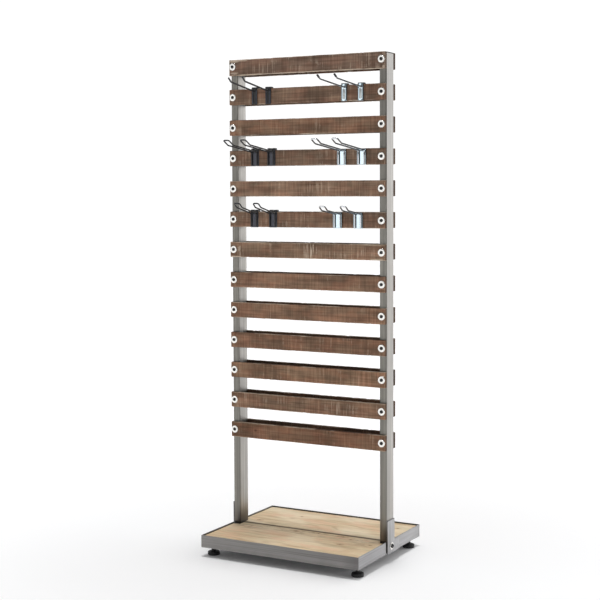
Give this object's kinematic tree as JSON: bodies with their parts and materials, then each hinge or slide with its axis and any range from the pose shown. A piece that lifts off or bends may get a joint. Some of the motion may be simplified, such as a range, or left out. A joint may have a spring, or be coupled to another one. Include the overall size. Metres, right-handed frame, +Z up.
{
  "type": "slatted display stand",
  "caption": "Free-standing two-sided slatted display stand with steel uprights, wooden slats, a low boarded base on levelling feet and clip-on display hooks.",
  "frame": {"origin": "on the floor under the middle of the stand", "axes": "+Z up, +X to the right seen from the hook side, -Y towards the hooks"},
  "size_m": [0.5852, 0.456, 1.6085],
  "materials": {
    "slat_wood": "rough-sawn, brown stain, worn edges",
    "base_wood": "sanded tan boards with knots",
    "frame_steel": "bare mill steel, satin clear coat",
    "zinc_fastener": "bright zinc plate",
    "hook_black": "black powder coat",
    "hook_chrome": "bright chrome plate",
    "black_plastic": "moulded, satin",
    "foot_plastic": "moulded, satin"
  },
  "bodies": {
    "stand": {"slat_front_01": "slat_wood", "slat_front_02": "slat_wood", "slat_front_03": "slat_wood", "slat_front_04": "slat_wood", "slat_front_05": "slat_wood", "slat_front_06": "slat_wood", "slat_front_07": "slat_wood", "slat_front_08": "slat_wood", "slat_front_09": "slat_wood", "slat_front_10": "slat_wood", "slat_front_11": "slat_wood", "slat_front_12": "slat_wood", "slat_front_13": "slat_wood", "slat_back_01": "slat_wood", "slat_back_02": "slat_wood", "slat_back_03": "slat_wood", "slat_back_04": "slat_wood", "slat_back_05": "slat_wood", "slat_back_06": "slat_wood", "slat_back_07": "slat_wood", "slat_back_08": "slat_wood", "slat_back_09": "slat_wood", "slat_back_10": "slat_wood", "slat_back_11": "slat_wood", "slat_back_12": "slat_wood", "slat_back_13": "slat_wood", "upright_left": "frame_steel", "upright_right": "frame_steel", "end_cap_left": "black_plastic", "end_cap_right": "black_plastic", "slat_bolts_left": "zinc_fastener", "slat_bolts_right": "zinc_fastener", "base_rail_front": "frame_steel", "base_rail_back": "frame_steel", "base_rail_left": "frame_steel", "base_rail_right": "frame_steel", "base_board_front": "base_wood", "base_board_back": "base_wood", "joining_plate_left": "frame_steel", "joining_plate_right": "frame_steel", "plate_bolt_left": "zinc_fastener", "plate_bolt_right": "zinc_fastener"},
    "hook_single_black_1": {"hook_single_black_1": "hook_black"},
    "hook_single_black_2": {"hook_single_black_2": "hook_black"},
    "hook_single_chrome_1": {"hook_single_chrome_1": "hook_chrome", "vinyl_tip_1": "black_plastic"},
    "hook_single_chrome_2": {"hook_single_chrome_2": "hook_chrome", "vinyl_tip_2": "black_plastic"},
    "hook_long_black_1": {"hook_long_black_1": "hook_black"},
    "hook_long_black_2": {"hook_long_black_2": "hook_black"},
    "hook_long_chrome_1": {"hook_long_chrome_1": "hook_chrome"},
    "hook_long_chrome_2": {"hook_long_chrome_2": "hook_chrome"},
    "hook_short_black_1": {"hook_short_black_1": "hook_black"},
    "hook_short_black_2": {"hook_short_black_2": "hook_black"},
    "hook_short_chrome_1": {"hook_short_chrome_1": "hook_chrome"},
    "hook_short_chrome_2": {"hook_short_chrome_2": "hook_chrome"},
    "foot_front_left": {"foot_front_left": "foot_plastic"},
    "foot_front_right": {"foot_front_right": "foot_plastic"},
    "foot_back_left": {"foot_back_left": "foot_plastic"},
    "foot_back_right": {"foot_back_right": "foot_plastic"}
  },
  "joints": [
    {"name": "slide_single_black_1", "type": "slide", "parent": "stand", "child": "hook_single_black_1", "axis": [1, 0, 0], "range_m": [-0.0609, 0.0147]},
    {"name": "slide_single_black_2", "type": "slide", "parent": "stand", "child": "hook_single_black_2", "axis": [1, 0, 0], "range_m": [-0.0146, 0.127]},
    {"name": "slide_single_chrome_1", "type": "slide", "parent": "stand", "child": "hook_single_chrome_1", "axis": [1, 0, 0], "range_m": [-0.127, 0.0181]},
    {"name": "slide_single_chrome_2", "type": "slide", "parent": "stand", "child": "hook_single_chrome_2", "axis": [1, 0, 0], "range_m": [-0.0181, 0.0467]},
    {"name": "slide_long_black_1", "type": "slide", "parent": "stand", "child": "hook_long_black_1", "axis": [1, 0, 0], "range_m": [-0.0577, 0.0167]},
    {"name": "slide_long_black_2", "type": "slide", "parent": "stand", "child": "hook_long_black_2", "axis": [1, 0, 0], "range_m": [-0.0167, 0.114]},
    {"name": "slide_long_chrome_1", "type": "slide", "parent": "stand", "child": "hook_long_chrome_1", "axis": [1, 0, 0], "range_m": [-0.114, 0.019]},
    {"name": "slide_long_chrome_2", "type": "slide", "parent": "stand", "child": "hook_long_chrome_2", "axis": [1, 0, 0], "range_m": [-0.0191, 0.038]},
    {"name": "slide_short_black_1", "type": "slide", "parent": "stand", "child": "hook_short_black_1", "axis": [1, 0, 0], "range_m": [-0.0542, 0.0212]},
    {"name": "slide_short_black_2", "type": "slide", "parent": "stand", "child": "hook_short_black_2", "axis": [1, 0, 0], "range_m": [-0.0212, 0.1036]},
    {"name": "slide_short_chrome_1", "type": "slide", "parent": "stand", "child": "hook_short_chrome_1", "axis": [1, 0, 0], "range_m": [-0.1036, 0.0202]},
    {"name": "slide_short_chrome_2", "type": "slide", "parent": "stand", "child": "hook_short_chrome_2", "axis": [1, 0, 0], "range_m": [-0.0203, 0.0508]},
    {"name": "turn_foot_front_left", "type": "hinge", "parent": "stand", "child": "foot_front_left", "pos_m": [-0.261, -0.188, 0], "axis": [0, 0, 1], "continuous": true},
    {"name": "turn_foot_front_right", "type": "hinge", "parent": "stand", "child": "foot_front_right", "pos_m": [0.261, -0.188, 0], "axis": [0, 0, 1], "continuous": true},
    {"name": "turn_foot_back_left", "type": "hinge", "parent": "stand", "child": "foot_back_left", "pos_m": [-0.261, 0.188, 0], "axis": [0, 0, 1], "continuous": true},
    {"name": "turn_foot_back_right", "type": "hinge", "parent": "stand", "child": "foot_back_right", "pos_m": [0.261, 0.188, 0], "axis": [0, 0, 1], "continuous": true}
  ]
}
